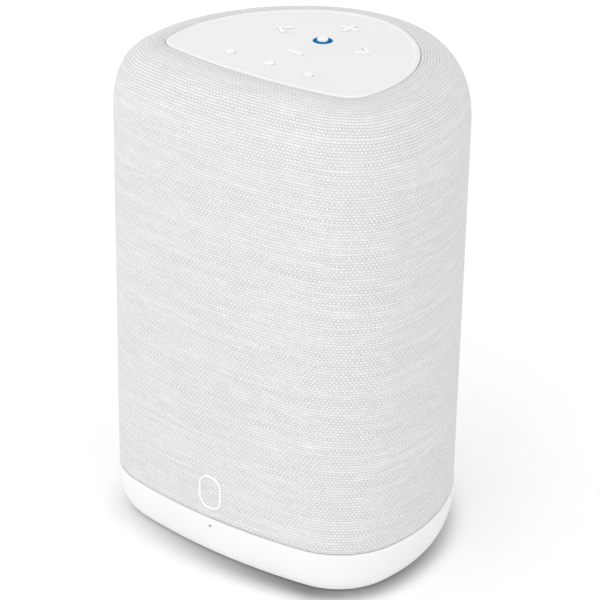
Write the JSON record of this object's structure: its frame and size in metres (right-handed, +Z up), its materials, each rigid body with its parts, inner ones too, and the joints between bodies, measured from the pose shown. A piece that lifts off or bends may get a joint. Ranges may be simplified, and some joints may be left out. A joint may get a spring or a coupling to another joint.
{
  "type": "smart speaker",
  "caption": "Fabric-covered tabletop smart speaker: rounded column on a plastic base, top panel with raised press keys and a lit ring, woofer and tweeter inside, socket panel at the back.",
  "frame": {"origin": "centre of the bounding box's underside, on the surface that the speaker stands on", "axes": "+Z up, front towards -Y, +X to the right seen from the front"},
  "size_m": [0.1256, 0.1101, 0.1837],
  "materials": {
    "white_shell": "satin moulded",
    "white_panel": "satin moulded",
    "white_badge": "polished",
    "white_keys": "satin moulded",
    "blue_light": "lit light guide",
    "dark_plastic": "fine texture",
    "black_parts": "moulded",
    "enclosure_plastic": "moulded",
    "rubber": "matte",
    "knitted_fabric": "woven, light melange",
    "screw_steel": "zinc plated",
    "basket_steel": "powder coated",
    "zinc_steel": "plated",
    "circuit_board": "solder mask",
    "led_chips": "moulded",
    "flex_film": "polyimide film",
    "spider_cloth": "resin-treated cloth",
    "cone_paper": "pressed pulp",
    "copper_coil": "enamelled copper",
    "ferrite": "ferrite",
    "dome_metal": "anodised",
    "lead_insulation": "insulation",
    "heat_sink_aluminium": "extruded",
    "transformer_tape": "tape",
    "insert_brass": "machined"
  },
  "bodies": {
    "cabinet": {"base_shell": "white_shell", "base_plate": "dark_plastic", "rubber_foot_pad": "rubber", "base_screws": "screw_steel", "grille_frame": "dark_plastic", "shoulder_frame": "dark_plastic", "fabric_sleeve": "knitted_fabric", "front_badge": "white_badge", "microphone": "dark_plastic", "top_panel": "white_panel", "key_guide": "dark_plastic", "key_board": "circuit_board", "key_switches": "black_parts", "ring_leds": "led_chips", "key_board_screws": "screw_steel", "key_flex_cable": "flex_film", "enclosure_front": "enclosure_plastic", "enclosure_rear": "enclosure_plastic", "enclosure_gasket": "rubber", "enclosure_screws": "screw_steel", "woofer_basket": "basket_steel", "woofer_gasket": "rubber", "woofer_surround": "rubber", "woofer_spider": "spider_cloth", "woofer_top_plate": "zinc_steel", "woofer_magnet": "ferrite", "woofer_yoke": "zinc_steel", "tweeter_plate": "dark_plastic", "tweeter_surround": "rubber", "tweeter_motor": "ferrite", "driver_screws": "screw_steel", "speaker_leads": "lead_insulation", "main_board": "circuit_board", "wireless_module": "zinc_steel", "heat_sink": "heat_sink_aluminium", "power_board": "circuit_board", "power_transformer": "transformer_tape", "socket_board": "circuit_board", "rear_panel": "white_shell", "rear_panel_screws": "screw_steel", "bracket_insert": "insert_brass", "ethernet_jack": "zinc_steel", "usb_a_socket": "zinc_steel", "service_usb_socket": "zinc_steel", "audio_in_jack": "black_parts", "headphone_jack": "black_parts", "mains_inlet": "black_parts"},
    "play_button": {"play_key": "white_keys", "light_ring": "blue_light"},
    "plus_button": {"plus_key": "white_keys"},
    "minus_button": {"minus_key": "white_keys"},
    "back_button": {"back_key": "white_keys"},
    "next_button": {"next_key": "white_keys"},
    "preset_button_1": {"preset_key_1": "white_keys"},
    "preset_button_2": {"preset_key_2": "white_keys"},
    "preset_button_3": {"preset_key_3": "white_keys"},
    "woofer_moving": {"woofer_cone": "cone_paper", "woofer_dust_cap": "cone_paper", "woofer_voice_coil": "copper_coil"},
    "tweeter_moving": {"tweeter_dome": "dome_metal"}
  },
  "joints": [
    {"name": "play_key_press", "type": "slide", "parent": "cabinet", "child": "play_button", "axis": [0, 0, -1], "range_m": [0, 0.0005], "stiffness_N_per_m": 1500},
    {"name": "plus_key_press", "type": "slide", "parent": "cabinet", "child": "plus_button", "axis": [0, 0, -1], "range_m": [0, 0.0005], "stiffness_N_per_m": 1500},
    {"name": "minus_key_press", "type": "slide", "parent": "cabinet", "child": "minus_button", "axis": [0, 0, -1], "range_m": [0, 0.0005], "stiffness_N_per_m": 1500},
    {"name": "back_key_press", "type": "slide", "parent": "cabinet", "child": "back_button", "axis": [0, 0, -1], "range_m": [0, 0.0005], "stiffness_N_per_m": 1500},
    {"name": "next_key_press", "type": "slide", "parent": "cabinet", "child": "next_button", "axis": [0, 0, -1], "range_m": [0, 0.0005], "stiffness_N_per_m": 1500},
    {"name": "preset_key_1_press", "type": "slide", "parent": "cabinet", "child": "preset_button_1", "axis": [0, 0, -1], "range_m": [0, 0.0005], "stiffness_N_per_m": 1500},
    {"name": "preset_key_2_press", "type": "slide", "parent": "cabinet", "child": "preset_button_2", "axis": [0, 0, -1], "range_m": [0, 0.0005], "stiffness_N_per_m": 1500},
    {"name": "preset_key_3_press", "type": "slide", "parent": "cabinet", "child": "preset_button_3", "axis": [0, 0, -1], "range_m": [0, 0.0005], "stiffness_N_per_m": 1500},
    {"name": "woofer_excursion", "type": "slide", "parent": "cabinet", "child": "woofer_moving", "axis": [0, -1, 0], "range_m": [-0.003, 0.003], "stiffness_N_per_m": 1200, "deforming": ["woofer_surround", "woofer_spider"]},
    {"name": "tweeter_excursion", "type": "slide", "parent": "cabinet", "child": "tweeter_moving", "axis": [0, -1, 0], "range_m": [-0.0003, 0.0003], "stiffness_N_per_m": 1500, "deforming": ["tweeter_surround"]}
  ]
}
